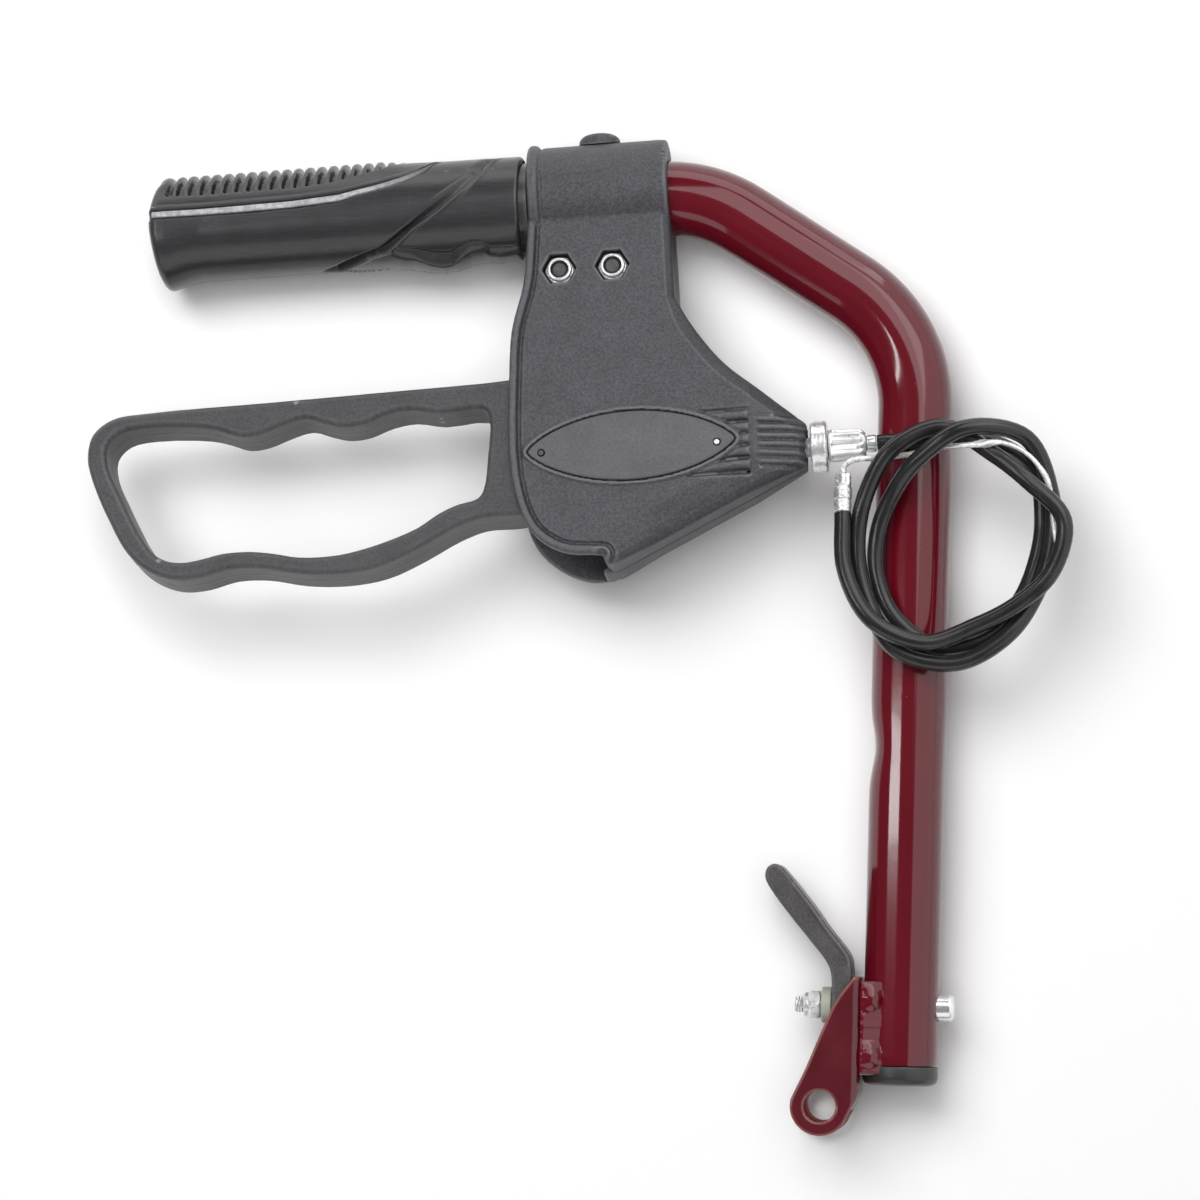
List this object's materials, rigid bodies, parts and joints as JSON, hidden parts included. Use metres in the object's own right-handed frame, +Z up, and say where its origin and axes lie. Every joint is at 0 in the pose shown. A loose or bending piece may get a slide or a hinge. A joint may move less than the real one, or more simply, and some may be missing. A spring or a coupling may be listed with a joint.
{
  "type": "walker brake handle assembly",
  "caption": "Bent tube handle for a wheeled walker: ribbed grip, loop brake lever in a clamped housing, coiled brake cable, and a lower clevis bracket with a spring lock pin and release paddle.",
  "frame": {"origin": "middle of the bounding box's bottom face, free cable left out; the assembly lies flat on its back", "axes": "+Z up, out of the housing's front face; +Y up the leg tube, from the clevis towards the grip; the grip points to -X"},
  "size_m": [0.2925, 0.2964, 0.0469],
  "materials": {
    "burgundy_enamel": "gloss",
    "grey_moulding": "fine textured",
    "black_moulding": "satin",
    "cable_sheath": "semi-gloss",
    "bright_steel": "zinc plated",
    "brass": "plain",
    "nylon": "satin"
  },
  "bodies": {
    "frame": {"adjuster_seat_nut": "brass", "brake_cable_sheath": "cable_sheath", "cable_end_ferrule": "bright_steel", "cable_end_wire": "bright_steel", "cable_sleeve": "bright_steel", "clamp_bolt_left": "bright_steel", "clamp_bolt_right": "bright_steel", "clamp_nut_left": "bright_steel", "clamp_nut_right": "bright_steel", "clevis_bracket": "burgundy_enamel", "cover_pin_left": "bright_steel", "cover_pin_right": "bright_steel", "cover_plate": "grey_moulding", "end_plug": "black_moulding", "hand_grip": "black_moulding", "handle_tube": "burgundy_enamel", "housing_back": "grey_moulding", "housing_front": "grey_moulding", "lever_pivot_pin": "bright_steel", "locating_cap": "grey_moulding", "lock_pin_spring": "bright_steel", "pull_wire": "bright_steel", "weld_bead_back": "burgundy_enamel", "weld_bead_front": "burgundy_enamel"},
    "lever": {"brake_lever": "grey_moulding", "pivot_bush": "nylon", "cable_nipple": "brass"},
    "adjuster": {"barrel_adjuster": "bright_steel"},
    "lock_nut": {"adjuster_lock_nut": "bright_steel"},
    "paddle": {"release_paddle": "black_moulding"},
    "pin": {"lock_pin": "bright_steel", "lock_pin_nut": "bright_steel", "lock_pin_washer": "nylon"}
  },
  "joints": [
    {"name": "brake_lever_pivot", "type": "hinge", "parent": "frame", "child": "lever", "pos_m": [0.0285, 0.06881, 0.02645], "axis": [-0.0136, 0.1558, 0.9877], "range_deg": [-12, 10]},
    {"name": "barrel_adjuster_turn", "type": "hinge", "parent": "frame", "child": "adjuster", "pos_m": [0.09, 0.05426, 0.02959], "axis": [0.9962, 0.0872, 0], "range_deg": [0, 1440]},
    {"name": "lock_nut_turn", "type": "hinge", "parent": "frame", "child": "lock_nut", "pos_m": [0.08735, 0.05403, 0.02959], "axis": [0.9962, 0.0872, 0], "range_deg": [-270, 0]},
    {"name": "release_paddle_pivot", "type": "hinge", "parent": "frame", "child": "paddle", "pos_m": [0.10063, -0.1011, 0.01706], "axis": [0, 0, -1], "range_deg": [0, 32], "stiffness_Nm_per_rad": 0.05},
    {"name": "lock_pin_slide", "type": "slide", "parent": "frame", "child": "pin", "axis": [-1, 0, 0], "range_m": [0, 0.0048], "deforming": ["lock_pin_spring"]}
  ],
  "couplings": [
    {"joint": "lock_pin_slide", "follows": "release_paddle_pivot", "m_per_rad": 0.00859}
  ]
}
